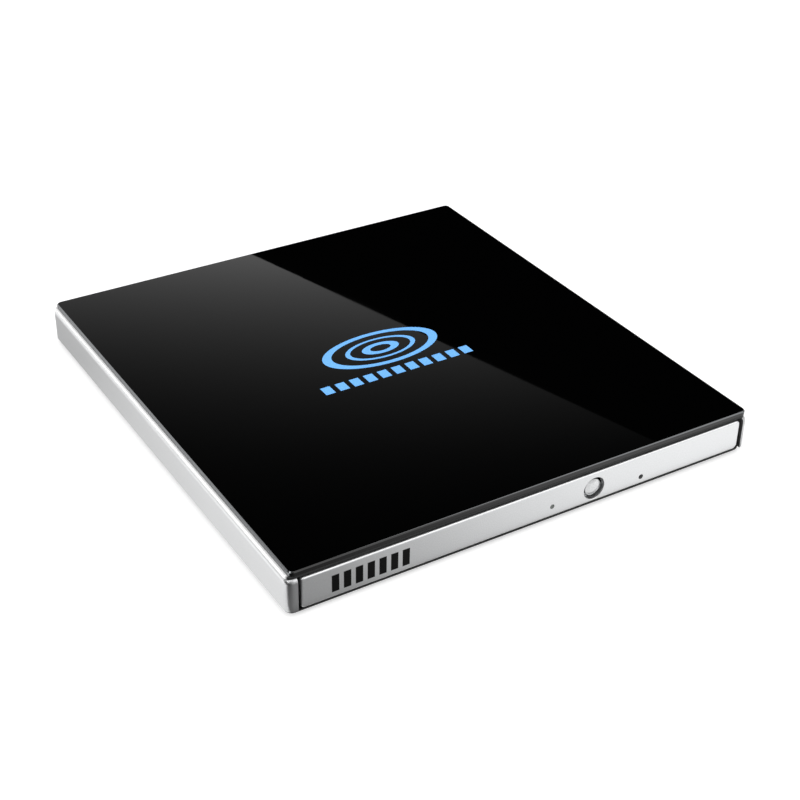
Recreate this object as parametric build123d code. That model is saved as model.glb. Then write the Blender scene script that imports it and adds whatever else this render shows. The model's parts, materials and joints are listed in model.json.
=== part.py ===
"""External slim optical drive: a tray-loading disc drive in a thin silver case with a gloss black top.

Row frame in millimetres: +X to the right of the front, +Y to the back, +Z up.
The origin is on the table, under the middle of the case. The bezel looks along -Y.
The tray travels along -Y on two telescoping steel rails and carries the whole disc mechanism:
spindle, pickup sled, lead screw, latch and eject button.
Mechanism pieces are drawn in the sled frame: its origin is the spindle axis and its +X is the
way the pickup moves outwards.
"""
from build123d import *
from math import cos, radians, sin
import os

# Case
CASE_W, CASE_D = 135.0, 144.6
CASE_R = 2.0                       # vertical corners
WALL = 1.6                         # side frame
FOOT_H = 0.8                       # rubber feet below the bottom cover
BOTTOM_T = 0.7
RIM_T = 0.8                        # black rim under the top plate
PLATE_T = 1.2
RIM_INSET, PLATE_INSET = 0.25, 0.5
RIM_FRONT, PLATE_LEFT = 0.7, 0.95  # the rim stands back over the bezel, the plate stands in on the left
LEFT, RIGHT = -CASE_W / 2, CASE_W / 2
FRONT, BACK = -CASE_D / 2, CASE_D / 2

# Bare drive inside the case: 128 mm wide and 9.5 mm high, the size of every thin tray drive
DRIVE_W, DRIVE_H, DRIVE_D = 128.0, 9.5, 126.1
GAP = 0.1                          # free height under and over the bare drive
SHEET = 0.5                        # chassis steel
LID_T = 0.4
LID_SCREW_Z = 8.8
DRIVE_X = 0.7                      # the bare drive sits right of the case's middle
DRIVE_FRONT = FRONT + 4.3

# Heights, from the table up
Z_COVER = FOOT_H
Z_FRAME = Z_COVER + BOTTOM_T
Z_DRIVE = Z_FRAME + GAP
Z_FLOOR = Z_DRIVE + SHEET          # chassis floor's upper face
Z_LID = Z_DRIVE + DRIVE_H          # lid's upper face
Z_PLATE = Z_LID + GAP
Z_RIM = Z_PLATE - RIM_T
Z_TOP = Z_PLATE + PLATE_T

DRIVE_L, DRIVE_R = DRIVE_X - DRIVE_W / 2, DRIVE_X + DRIVE_W / 2
DRIVE_BACK = DRIVE_FRONT + DRIVE_D

# Bezel
BEZEL_L, BEZEL_R = LEFT + 3.6, RIGHT - 2.9
BEZEL_GAP_L, BEZEL_GAP_R = 0.8, 1.1
BEZEL_Z = (Z_FRAME + 0.3, Z_RIM - 0.2)
BEZEL_BACK = FRONT + 3.7
BEZEL_WALL = 1.4
BUTTON_X, BUTTON_Z, BUTTON_R = 17.8, 5.6, 2.3
GROOVE_R = 3.1                     # hole around the button
LED_X, LED_Z, LED_R = 5.1, 4.7, 0.6
PINHOLE_X, PINHOLE_Z, PINHOLE_R = 32.6, 3.9, 0.7

# Tray
TRAY_FRONT, TRAY_BACK = BEZEL_BACK + 0.1, 56.5
TRAY_HALF = 60.7
TRAY_TOP = 10.1
TRAY_FLOOR = (7.0, 7.8)
TRAY_LEG = 3.0                     # lowest face of the tray's beams
BEAM = 2.5
DISC_WELL_R = 60.9
SPINDLE_X, SPINDLE_Y = DRIVE_X, -6.0
COVER_PEGS = [(-54, 16), (-54, -28), (28, 14), (-5, -62)]
BOARD_SCREWS = [(0.6, -60.2), (24.6, -60.2)]

# Sled frame
SLED_ANGLE = 225.0
LENS_HOME, SLED_TRAVEL = 24.0, 34.0
ROD_OFFSET, ROD_R, ROD_Z = 12.0, 1.0, 5.3
ROD_SPAN = (7.8, 68.0)
SCREW_OFFSET, SCREW_R = 18.5, 1.3
PLATE_Z = (4.0, 4.8)               # traverse frame
DAMPERS = [(-15, -16), (-15, 19.5), (36, -22.5), (36, 27)]
DECK_SCREWS = [(-16.3, 0), (16, -16.3), (16, 16.3), (51.8, -12.4), (51.8, 12.4)]
LENSES = [(-2.5, 2.3), (2.9, 1.8)]  # place across the sled and radius

# Hub
DISC_Z = 8.8                       # underside of a seated disc
HUB_R, HUB_TOP = 7.4, TRAY_TOP
PAWL_TIP_R = 7.6
PAWL_ANGLES = (30, 150, 270)

# Latch, on the tray's front right
PIVOT_X, PIVOT_Y = 36.0, -50.5
LEVER_Z = (3.3, 4.3)
POST_X, POST_Y, POST_R = 33.2, -42.4, 0.9
PLUNGER_Y, PLUNGER_Z, PLUNGER_R = -54.5, 5.1, 0.9

# Flat cable from the chassis to the tray
CABLE_X = (41.0, 55.0)
CABLE_T = 0.1
CABLE_FOLD_Y, CABLE_END_Y = -16.0, 48.0

# Back of the case
USB_X, USB_Z, USB_W, USB_H = -38.0, 5.75, 7.7, 3.9
CASE_SCREWS = [(-61.0, 65.5), (61.0, 65.5)]
FEET = [(x, y) for x in (-54.0, 54.0) for y in (-60.0, 60.0)]

NODES = {}


def block(x, y, z):
    """A box between the lowest and highest X, Y and Z, each given as a pair."""
    sides = (x, y, z)
    middle = [(low + high) / 2 for low, high in sides]
    return Pos(*middle) * Box(*[high - low for low, high in sides])


def rounded_block(x, y, z, radius):
    """A box with rounded vertical corners."""
    plan = RectangleRounded(x[1] - x[0], y[1] - y[0], radius)
    return Pos((x[0] + x[1]) / 2, (y[0] + y[1]) / 2, z[0]) * extrude(plan, z[1] - z[0])


def post(x, y, z, radius):
    """An upright cylinder."""
    return Pos(x, y, (z[0] + z[1]) / 2) * Cylinder(radius, z[1] - z[0])


def rod_x(x, y, z, radius):
    return Pos((x[0] + x[1]) / 2, y, z) * Rot(0, 90, 0) * Cylinder(radius, x[1] - x[0])


def rod_y(x, y, z, radius):
    return Pos(x, (y[0] + y[1]) / 2, z) * Rot(90, 0, 0) * Cylinder(radius, y[1] - y[0])


def prism(points, z):
    """A flat shape with straight edges, from z[0] to z[1]."""
    return Pos(0, 0, z[0]) * extrude(make_face(Polyline(*points, close=True)), z[1] - z[0])


def group(shapes):
    """Separate solids that share one node."""
    return Compound([solid for shape in shapes for solid in shape.solids()])


def mirrored(shape):
    """The same piece on the drive's other side."""
    return Pos(DRIVE_X, 0, 0) * mirror(Pos(-DRIVE_X, 0, 0) * shape, Plane.YZ)


def on_sled(shape):
    """Moves a shape from the sled frame to the row frame."""
    return Pos(SPINDLE_X, SPINDLE_Y, 0) * Rot(0, 0, SLED_ANGLE) * shape


def sled_point(along, across):
    """A point of the sled frame, in the row frame."""
    turn = radians(SLED_ANGLE)
    return (SPINDLE_X + along * cos(turn) - across * sin(turn),
            SPINDLE_Y + along * sin(turn) + across * cos(turn))


def screw(x, y, head_z, head_r, shank_r, tip_z):
    """A pan-head screw with a cross recess. Its head ends at head_z[0] or head_z[1], away from the tip."""
    up = tip_z > head_z[1]
    seat = head_z[1] if up else head_z[0]
    face = head_z[0] if up else head_z[1]
    shank = post(x, y, (min(seat, tip_z), max(seat, tip_z)), shank_r)
    deep = (head_z[1] - head_z[0]) * 0.6
    slot_z = (face - deep, face + deep)
    slot = head_r * 0.6
    cross = block((x - slot, x + slot), (y - 0.15, y + 0.15), slot_z)
    cross += block((x - 0.15, x + 0.15), (y - slot, y + slot), slot_z)
    return post(x, y, head_z, head_r) + shank - cross


def coil_spring(radius, wire, pitch, height):
    """A helical wire that stands on Z."""
    path = Helix(pitch, height, radius)
    profile = Plane(origin=path @ 0, z_dir=path % 0) * Circle(wire)
    return sweep(profile, path=path)


# ---- Case ----

def case_plan(inset, z, radius):
    return rounded_block((LEFT + inset, RIGHT - inset), (FRONT + inset, BACK - inset), z, radius)


def cover_skin():
    """The cover's outline. It stops short of the case on the right, and rounds off under the bezel's end."""
    short, end_r = 0.9, 2.6
    plan = RectangleRounded(CASE_W - RIM_INSET - short, CASE_D - 2 * RIM_INSET, CASE_R - RIM_INSET)
    skin = Pos((RIM_INSET - short) / 2, 0, Z_COVER) * extrude(plan, BOTTOM_T)
    corner_x, corner_y = RIGHT - short - end_r, FRONT + RIM_INSET + end_r
    z = (Z_COVER, Z_FRAME)
    end = block((corner_x, RIGHT), (FRONT, corner_y), z) - post(corner_x, corner_y, z, end_r)
    skin -= end
    return chamfer(skin.faces().sort_by(Axis.Z)[0].outer_wire().edges(), 0.35)


def bottom_cover():
    cover = cover_skin()
    lip_z = (Z_FRAME, Z_FRAME + 1.1)
    outer, inner = WALL + 0.15, WALL + 1.05
    lip = case_plan(outer, lip_z, 1.3) - case_plan(inner, lip_z, 0.5)
    lip -= block((LEFT, RIGHT), (FRONT, FRONT + 8), lip_z)
    cover += lip
    for x, y in CASE_SCREWS:
        cover += post(x, y, lip_z, 2.6)
    for x, y in CASE_SCREWS:
        cover -= post(x, y, (Z_COVER, Z_COVER + 0.8), 1.95)
        cover -= post(x, y, (Z_COVER, lip_z[1]), 1.1)
    for x, y in FEET:
        cover -= post(x, y, (Z_COVER, Z_COVER + 0.3), 4.35)
    vent_pitch, vent_count = 3.2, 8
    for row in (-1, 1):
        for i in range(vent_count):
            x = row * 38 + (i - (vent_count - 1) / 2) * vent_pitch
            cover -= Pos(x, 34, Z_COVER) * extrude(SlotOverall(12, 1.2, rotation=90), BOTTOM_T)
    label = Pos(0, -20, Z_COVER) * extrude(RectangleRounded(62.4, 36.4, 1.6), 0.15)
    return cover - label


def side_frame():
    z = (Z_FRAME, Z_RIM)
    frame = case_plan(0, z, CASE_R)
    frame = fillet(frame.faces().sort_by(Axis.Z)[-1].outer_wire().edges(), 1.1)
    frame -= case_plan(WALL, z, CASE_R - WALL)
    opening = (BEZEL_L - BEZEL_GAP_L, BEZEL_R + BEZEL_GAP_R)
    frame -= block(opening, (FRONT - 1, FRONT + 3), (z[0] - 1, z[1] + 1))
    usb_plane = Plane(origin=(USB_X, BACK + 1, USB_Z), x_dir=(1, 0, 0), z_dir=(0, -1, 0))
    cut = extrude(usb_plane * RectangleRounded(USB_W + 0.7, USB_H + 0.7, 0.9), 4)
    for y in (-40, 0, 40):
        frame += block((LEFT + WALL - 0.1, LEFT + WALL + 0.9), (y - 1, y + 1), (Z_FRAME + 1.3, Z_RIM))
    return frame - cut


def top_frame():
    z = (Z_RIM, Z_PLATE)
    rim = rounded_block((LEFT + RIM_INSET, RIGHT - RIM_INSET), (FRONT + RIM_FRONT, BACK - RIM_INSET), z, 1.75)
    rim = chamfer(rim.faces().sort_by(Axis.Z)[-1].outer_wire().edges(), 0.25)
    rim -= rounded_block((DRIVE_L - 0.7, DRIVE_R + 0.5), (FRONT + 3.4, DRIVE_BACK + 0.5), z, 1.0)
    for x, y in CASE_SCREWS:
        rim += post(x, y, (Z_FRAME + 1.2, Z_RIM), 2.4)
    for x, y in CASE_SCREWS:
        rim -= post(x, y, (Z_FRAME + 1.2, Z_FRAME + 6.2), 1.05)
    return rim


def top_plate():
    plate = rounded_block((LEFT + PLATE_LEFT, RIGHT - PLATE_INSET), (FRONT + PLATE_INSET, BACK - PLATE_INSET),
                          (Z_PLATE, Z_TOP), 1.5)
    return chamfer(plate.faces().sort_by(Axis.Z)[-1].outer_wire().edges(), 0.3)


def rubber_foot(x, y):
    foot = post(x, y, (0, Z_COVER + 0.3), 4.2)
    return fillet(foot.faces().sort_by(Axis.Z)[0].outer_wire().edges(), 0.35)


def case():
    NODES["bottom_cover"] = bottom_cover()
    NODES["side_frame"] = side_frame()
    NODES["top_frame"] = top_frame()
    NODES["top_plate"] = top_plate()
    NODES["rubber_feet"] = group([rubber_foot(x, y) for x, y in FEET])
    head_z = (Z_COVER + 0.1, Z_COVER + 0.8)
    NODES["case_screws"] = group(
        [screw(x, y, head_z, 1.85, 1.0, Z_FRAME + 6) for x, y in CASE_SCREWS])
    NODES["blank_label"] = Pos(0, -20, Z_COVER) * extrude(RectangleRounded(62, 36, 1.5), 0.15)


# ---- Bridge board at the back of the case ----

def usb_port():
    z = (USB_Z - USB_H / 2, USB_Z + USB_H / 2)
    x = (USB_X - USB_W / 2, USB_X + USB_W / 2)
    y = (BACK - 9.4, BACK - 0.2)
    wall = 0.35
    shell = fillet(block(x, y, z).edges().filter_by(Axis.Y), 0.6)
    shell -= block((x[0] + wall, x[1] - wall), (y[0] + wall, y[1] + 1), (z[0] + wall, z[1] - wall))
    tongue = block((USB_X - 2.3, USB_X + 2.3), (y[0] + 2, y[1] - 1.6), (USB_Z - 0.5, USB_Z + 0.5))
    core = block((x[0] + 0.4, x[1] - 0.4), (y[0] + 0.4, y[0] + 2), (z[0] + 0.4, z[1] - 0.4)) + tongue
    return shell, core


def chip(x, y, width, depth, z):
    """A flat package on a board."""
    return block((x - width / 2, x + width / 2), (y - depth / 2, y + depth / 2), z)


def bridge_board():
    z = (USB_Z - USB_H / 2 - 1.0, USB_Z - USB_H / 2)
    board = block((-50, 24), (DRIVE_BACK + 1.4, BACK - WALL - 0.4), z)
    parts = [board]
    top = z[1]
    y = 66.9
    for x, width, depth, height in ((-24, 7, 7, 0.9), (-14, 3.2, 2.5, 0.8), (-8, 4, 3, 1.1), (12, 5, 4, 1.0)):
        parts.append(chip(x, y, width, depth, (top, top + height)))
    for i in range(9):
        x = -4 + i * 1.7
        parts.append(block((x - 0.4, x + 0.4), (69.0, 69.9), (top, top + 0.5)))
    return group(parts)


def bridge():
    shell, core = usb_port()
    NODES["usb_port_shell"] = shell
    NODES["usb_port_core"] = core
    NODES["bridge_board"] = bridge_board()
    z = (USB_Z - USB_H / 2, 7.6)
    body = block((-20, 22), (DRIVE_BACK + 0.6, DRIVE_BACK + 5.4), z)
    slot = block((-18.6, 20.6), (DRIVE_BACK, DRIVE_BACK + 3.6), (4.9, 6.5))
    NODES["sata_plug"] = body - slot


# ---- Drive chassis ----

def lid_screw_y():
    return (DRIVE_FRONT + 22, DRIVE_BACK - 22)


def drive_chassis():
    wall_top = Z_LID - LID_T - 0.1
    pan = block((DRIVE_L, DRIVE_R), (DRIVE_FRONT, DRIVE_BACK), (Z_DRIVE, wall_top))
    pan -= block((DRIVE_L + SHEET, DRIVE_R - SHEET), (DRIVE_FRONT - 1, DRIVE_BACK - SHEET),
                 (Z_FLOOR, wall_top + 1))
    pan -= block((-21, 23), (DRIVE_BACK - 1, DRIVE_BACK + 1), (2.9, 8.2))
    for x in (-44, -22, 8):
        pan += rounded_block((x - 3, x + 3), (-52, 16), (Z_FLOOR, Z_FLOOR + 0.3), 2.9)
    for y in lid_screw_y():
        pan -= rod_x((DRIVE_L - 1, DRIVE_L + 1), y, LID_SCREW_Z, 0.75)
        pan -= rod_x((DRIVE_R - 1, DRIVE_R + 1), y, LID_SCREW_Z, 0.75)
    for x in (-52, 52):
        pan -= post(x, -56, (Z_DRIVE, Z_FLOOR), 1.5)
    return pan


def drive_lid():
    lid = block((DRIVE_L, DRIVE_R), (DRIVE_FRONT, DRIVE_BACK), (Z_LID - LID_T, Z_LID))
    for y in lid_screw_y():
        for tab in ((DRIVE_L - 0.45, DRIVE_L - 0.05), (DRIVE_R + 0.05, DRIVE_R + 0.45)):
            lid += block(tab, (y - 4, y + 4), (7.4, Z_LID))
            lid -= rod_x((tab[0] - 1, tab[1] + 1), y, LID_SCREW_Z, 0.75)
    lid += block((DRIVE_L - 0.45, DRIVE_L), (-50, 50), (Z_LID - LID_T, Z_LID))
    lid += block((DRIVE_R, DRIVE_R + 0.45), (-50, 50), (Z_LID - LID_T, Z_LID))
    return lid


def lid_screw(y, side):
    """A short side screw through a lid tab, pointing into the chassis."""
    face = DRIVE_L - 0.45 if side < 0 else DRIVE_R + 0.45
    head = rod_x(sorted((face, face + side * 0.35)), y, LID_SCREW_Z, 1.3)
    return head + rod_x(sorted((face, face - side * 0.9)), y, LID_SCREW_Z, 0.7)


def rail_guide():
    """Left guide: a plastic channel on the chassis wall, open towards the tray."""
    wall = DRIVE_L + SHEET
    y = (DRIVE_FRONT + 2, DRIVE_BACK - SHEET - 0.5)
    guide = block((wall, wall + 1.6), y, (3.2, 9.6))
    return guide - block((wall + 0.6, wall + 2), (y[0] - 1, y[1] - 2), (3.8, 9.0))


def slide_rail():
    """Left rail: a steel channel between the guide and the tray's tongue."""
    web = DRIVE_L + SHEET + 0.75
    y = (DRIVE_FRONT + 2, 52)
    rail = block((web, web + 1.75), y, (4.0, 8.8))
    return rail - block((web + 0.5, web + 2), (y[0] - 1, y[1] + 1), (4.5, 8.3))


def main_board():
    z = (Z_FLOOR + 0.4, Z_FLOOR + 1.2)
    outline = [(-56, 24.5), (35, 24.5), (35, 52.5), (57, 52.5),
               (57, 56.8), (-46, 56.8), (-46, 50), (-56, 50)]
    parts = [prism(outline, z)]
    top = z[1]
    chips = ((-34, 38, 14, 14, 1.2), (-10, 36, 9, 9, 1.0), (12, 34, 8, 5, 1.0), (24, 44, 6, 6, 1.0),
             (0, 46, 5, 4, 0.9), (-22, 48, 4, 3, 0.8))
    for x, y, width, depth, height in chips:
        parts.append(chip(x, y, width, depth, (top, top + height)))
    for i in range(12):
        x = -46 + i * 6.5
        parts.append(block((x - 0.6, x + 0.6), (26.2, 27.2), (top, top + 0.5)))
    parts.append(block((CABLE_X[0] - 0.5, CABLE_X[1] + 0.5), (53.4, 56.4), (top, top + 1.4)))
    return group(parts)


def cable_strip(points):
    """A flat cable whose middle line goes through the points (y, z)."""
    x = CABLE_X[0]
    upper = [(x, y, z + CABLE_T / 2) for y, z in points]
    lower = [(x, y, z - CABLE_T / 2) for y, z in reversed(points)]
    face = make_face(Polyline(*upper, *lower, close=True))
    return extrude(face, CABLE_X[1] - CABLE_X[0], dir=(1, 0, 0))


def cable_fixed_run():
    low = Z_FLOOR + 0.1
    return cable_strip([(CABLE_FOLD_Y - 5, low), (50, low), (52, 3.8), (53.3, 3.8)])


def cable_fold():
    """The rolling loop: a lower run, a half turn and an upper run, at half the tray's travel."""
    low, high = Z_FLOOR + 0.25, 4.65
    radius = (high - low) / 2
    middle = (low + high) / 2
    width = CABLE_X[1] - CABLE_X[0]
    turn = rod_x(CABLE_X, CABLE_FOLD_Y, middle, radius + CABLE_T / 2)
    turn -= rod_x((CABLE_X[0] - 1, CABLE_X[1] + 1), CABLE_FOLD_Y, middle, radius - CABLE_T / 2)
    turn -= Pos(CABLE_X[0] + width / 2, CABLE_FOLD_Y + 5, middle) * Box(width + 4, 10, 10)
    for z in (low, high):
        turn += block(CABLE_X, (CABLE_FOLD_Y - 0.01, CABLE_END_Y), (z - CABLE_T / 2, z + CABLE_T / 2))
    return turn


def chassis():
    NODES["drive_chassis"] = drive_chassis()
    NODES["drive_lid"] = drive_lid()
    NODES["lid_screws"] = group([lid_screw(y, side) for y in lid_screw_y() for side in (-1, 1)])
    NODES["rail_guide_left"] = rail_guide()
    NODES["rail_guide_right"] = mirrored(rail_guide())
    NODES["slide_rail_left"] = slide_rail()
    NODES["slide_rail_right"] = mirrored(slide_rail())
    NODES["latch_post"] = post(POST_X, POST_Y, (Z_FLOOR, 3.1), POST_R) + post(
        POST_X, POST_Y, (Z_FLOOR, Z_FLOOR + 0.3), 1.6)
    NODES["main_board"] = main_board()
    socket = block((-18.4, 20.4), (51, DRIVE_BACK + 0.4), (Z_FLOOR + 1.2, 6.8))
    tongue = block((-17.4, 19.4), (DRIVE_BACK + 0.4, DRIVE_BACK + 3.4), (5.1, 6.2))
    NODES["drive_sata_socket"] = socket + tongue
    NODES["cable_fixed_run"] = cable_fixed_run()
    NODES["cable_fold"] = cable_fold()


# ---- Tray ----

def deck_outline(inset):
    """The thin deck plate's eight-sided outline, in the sled frame."""
    short, wide, near, far = 9 - inset * 0.4, 17.6 - inset, -17.4 + inset, 57 - inset
    cut = wide - short
    return [(near, -short), (near + cut, -wide), (far - cut, -wide), (far, -short),
            (far, short), (far - cut, wide), (near + cut, wide), (near, short)]


def tray():
    x = (SPINDLE_X - TRAY_HALF, SPINDLE_X + TRAY_HALF)
    y = (TRAY_FRONT, TRAY_BACK)
    body = block(x, y, (TRAY_FLOOR[0], TRAY_TOP))
    body += block((DRIVE_L + SHEET + 0.3, DRIVE_R - SHEET - 0.3), (TRAY_FRONT, TRAY_BACK), (9.7, TRAY_TOP))
    body -= post(SPINDLE_X, SPINDLE_Y, (TRAY_FLOOR[1], TRAY_TOP + 1), DISC_WELL_R)
    ledge = post(SPINDLE_X, SPINDLE_Y, (TRAY_FLOOR[1], TRAY_FLOOR[1] + 0.3), DISC_WELL_R)
    body += ledge - post(SPINDLE_X, SPINDLE_Y, (TRAY_FLOOR[1], TRAY_FLOOR[1] + 0.3), 57.5)
    beam_z = (TRAY_LEG, TRAY_FLOOR[0])
    side = block((x[0], x[0] + BEAM), y, beam_z) + block((x[0] - 1.4, x[0]), (TRAY_FRONT, 52), (4.7, 8.1))
    body += side + mirrored(side)
    body += block(x, (TRAY_FRONT, TRAY_FRONT + 3), beam_z)
    body += block(x, (TRAY_BACK - 2, TRAY_BACK), (6.0, TRAY_FLOOR[0]))
    body -= block((-20, 22), (TRAY_BACK - 3, TRAY_BACK), (5, TRAY_FLOOR[0]))
    body -= on_sled(prism(deck_outline(-0.15), (7.5, 9)))
    body -= on_sled(prism(deck_outline(2.6), (TRAY_FLOOR[0] - 1, 9)))
    body -= on_sled(block((50, 62.5), (-7, 7), (TRAY_FLOOR[0] - 0.5, 8.6)))
    body += tray_bosses()
    return body - tray_cuts()


def tray_bosses():
    """Screw posts, board posts, cover pegs and the ejector's holder, under the tray's floor."""
    top = TRAY_FLOOR[0] + 0.1
    bosses = [post(*sled_point(along, across), (5.4, top), 1.7) for along, across in DAMPERS]
    bosses += [post(*spot, (4.1, top), 1.6) for spot in BOARD_SCREWS]
    for px, py in COVER_PEGS:
        bosses.append(post(px, py, (3.0, top), 1.7) + post(px, py, (2.75, 3.0), 0.9))
    bosses.append(block((-54, -50), (50, 54.4), (3.9, top)))
    bosses.append(post(PIVOT_X, PIVOT_Y, (6.2, top), 1.6))
    return Part() + bosses


def tray_cuts():
    """Holes for screws, the button's stem, the light pipe, the emergency pin and the bezel's hooks."""
    front = (TRAY_FRONT - 1, TRAY_FRONT + 4)
    cuts = [post(*sled_point(along, across), (4, 6.7), 0.85) for along, across in DAMPERS]
    cuts += [post(*spot, (3, 6.5), 0.85) for spot in BOARD_SCREWS]
    cuts += [on_sled(post(along, across, (6, 8), 0.65)) for along, across in DECK_SCREWS]
    cuts.append(rod_y(BUTTON_X, front, BUTTON_Z, 1.6))
    cuts.append(rod_y(LED_X, front, LED_Z, LED_R + 0.3))
    cuts.append(block((PINHOLE_X - 1.2, PINHOLE_X + 1.2), front, (2, 4.8)))
    cuts.append(rod_y(-52, (49, 57), 5.3, 1.1))
    cuts.append(post(PIVOT_X, PIVOT_Y, (5, 6.8), 0.8))
    for hook_x in (-45, 45):
        cuts.append(block((hook_x - 2.2, hook_x + 2.2), front, (5.3, 6.7)))
    return Part() + cuts


def deck_cover():
    deck = prism(deck_outline(0), (7.5, 7.8))
    deck -= post(0, 0, (7, 8), 15.2)
    deck -= block((10, 62), (-7, 7), (7, 8))
    for along, across in DECK_SCREWS:
        deck -= post(along, across, (7, 8), 0.65)
    return on_sled(deck)


def underside_cover():
    cover = rounded_block((-56.6, 30.4), (-65.0, 22.4), (2.75, 3.0), 2.0)
    for px, py in COVER_PEGS:
        cover -= post(px, py, (2.7, 3.1), 0.95)
    cover -= post(*sled_point(0, 0), (2.7, 3.1), 4.0)
    return cover


def front_bezel():
    x, y = (BEZEL_L, BEZEL_R), (FRONT, BEZEL_BACK)
    bezel = block(x, y, BEZEL_Z)
    ends = bezel.edges().filter_by(Axis.Y).group_by(Axis.X)
    bezel = chamfer(ends[-1].sort_by(Axis.Z)[0], 0.9)
    ends = bezel.edges().filter_by(Axis.Y).group_by(Axis.X)
    bezel = fillet(ends[-1].sort_by(Axis.Z)[-1], 1.0)
    ends = bezel.edges().filter_by(Axis.Y).group_by(Axis.X)
    bezel = fillet(ends[0], 0.7)
    bezel = fillet(bezel.faces().sort_by(Axis.Y)[0].outer_wire().edges(), 0.45)
    back = FRONT + BEZEL_WALL
    pocket = block((x[0] + 1.3, x[1] - 1.3), (back, BEZEL_BACK + 1), (BEZEL_Z[0] + 1.1, BEZEL_Z[1] - 1.1))
    bosses = rod_y(PINHOLE_X, (back, BEZEL_BACK), PINHOLE_Z, 1.5)
    bosses += rod_y(LED_X, (back, BEZEL_BACK), LED_Z, 1.3)
    bosses += rod_y(BUTTON_X, (back + 1.2, BEZEL_BACK), BUTTON_Z, 2.1)
    for i in range(9):
        rib_x = BEZEL_L + 9 + i * 14.0
        if abs(rib_x - BUTTON_X) > 4.5:
            bosses += block((rib_x - 0.4, rib_x + 0.4), (back, BEZEL_BACK), BEZEL_Z)
    for side in (-1, 1):
        bosses += block((BUTTON_X + side * 2.0 - 0.4, BUTTON_X + side * 2.0 + 0.4),
                        (back + 1.2, BEZEL_BACK), BEZEL_Z)
    bezel -= pocket - bosses
    for hook_x in (-45, 45):
        bezel += block((hook_x - 2, hook_x + 2), (back, BEZEL_BACK + 2.2), (5.5, 6.5))
    ring = Plane(origin=(BUTTON_X, FRONT, BUTTON_Z), z_dir=(0, 1, 0))
    bezel -= ring * Pos(0, 0, 0.05) * Cone(GROOVE_R + 0.1, GROOVE_R, 0.1)
    bezel -= rod_y(BUTTON_X, (FRONT - 1, back + 1.2), BUTTON_Z, GROOVE_R)
    bezel -= rod_y(BUTTON_X, (FRONT, BEZEL_BACK + 1), BUTTON_Z, 1.25)
    bezel -= rod_y(LED_X, (FRONT - 1, BEZEL_BACK + 1), LED_Z, LED_R + 0.05)
    bezel -= rod_y(PINHOLE_X, (FRONT - 1, BEZEL_BACK + 1), PINHOLE_Z, PINHOLE_R)
    return bezel


def eject_button():
    """A domed cap, level with the bezel's face, on a stem that reaches the switch."""
    dome_r = 4.2
    cap = rod_y(BUTTON_X, (FRONT, FRONT + 1.7), BUTTON_Z, BUTTON_R)
    cap &= Pos(BUTTON_X, FRONT + dome_r, BUTTON_Z) * Sphere(dome_r)
    return cap + rod_y(BUTTON_X, (FRONT + 1.6, FRONT + 6.1), BUTTON_Z, 1.15)


def front_board():
    board = block((-1.6, 26.8), (-65.2, -58.4), (3.3, 4.1))
    for spot in BOARD_SCREWS:
        board -= post(*spot, (3, 5), 0.85)
    led = block((LED_X - 1.1, LED_X + 1.1), (-65.1, -63.9), (4.1, 5.1))
    return group([board, led])


def eject_switch():
    body = block((BUTTON_X - 2.3, BUTTON_X + 2.3), (-65.1, -61.9), (4.1, 6.8))
    return body + rod_y(BUTTON_X, (-65.5, -65.0), BUTTON_Z, 0.9)


def solenoid():
    y = (PLUNGER_Y - 2.6, PLUNGER_Y + 2.6)
    frame = block((12, 30), y, (3.1, 3.4))
    frame += block((12, 12.6), y, (3.1, 6.8)) + block((29.4, 30), y, (3.1, 6.8))
    frame -= rod_x((28, 31), PLUNGER_Y, PLUNGER_Z, 1.0)
    coil = rod_x((12.7, 29.3), PLUNGER_Y, PLUNGER_Z, 1.65)
    coil -= rod_x((17, 30), PLUNGER_Y, PLUNGER_Z, 1.0)
    plunger = rod_x((18.5, 33.7), PLUNGER_Y, PLUNGER_Z, PLUNGER_R)
    fork = block((33.6, 36.8), (PLUNGER_Y - 1.9, PLUNGER_Y + 1.9), (4.6, 5.6))
    slot = block((34.5, 35.9), (PLUNGER_Y - 1.0, PLUNGER_Y + 1.3), (4, 6))
    return frame, coil, plunger + fork - slot


def latch_lever():
    """A two-armed lever: its hook holds the chassis post and its pin sits in the plunger's slot."""
    lever = post(PIVOT_X, PIVOT_Y, LEVER_Z, 2.2)
    lever += block((PIVOT_X - 1.1, PIVOT_X + 1.1), (PIVOT_Y, PIVOT_Y + 11), LEVER_Z)
    lever += block((PIVOT_X - 4.4, PIVOT_X + 1.1), (PIVOT_Y + 9.4, PIVOT_Y + 11), LEVER_Z)
    lever += block((PIVOT_X - 1.5, PIVOT_X), (PIVOT_Y - 4.6, PIVOT_Y), LEVER_Z)
    lever += block((PINHOLE_X - 1, PIVOT_X - 1), (PIVOT_Y - 2.7, PIVOT_Y - 1.4), LEVER_Z)
    lever += post(PIVOT_X - 0.8, PLUNGER_Y, (LEVER_Z[0], 6.0), 0.5)
    return lever - post(PIVOT_X, PIVOT_Y, (3, 5), 0.83)


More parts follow.
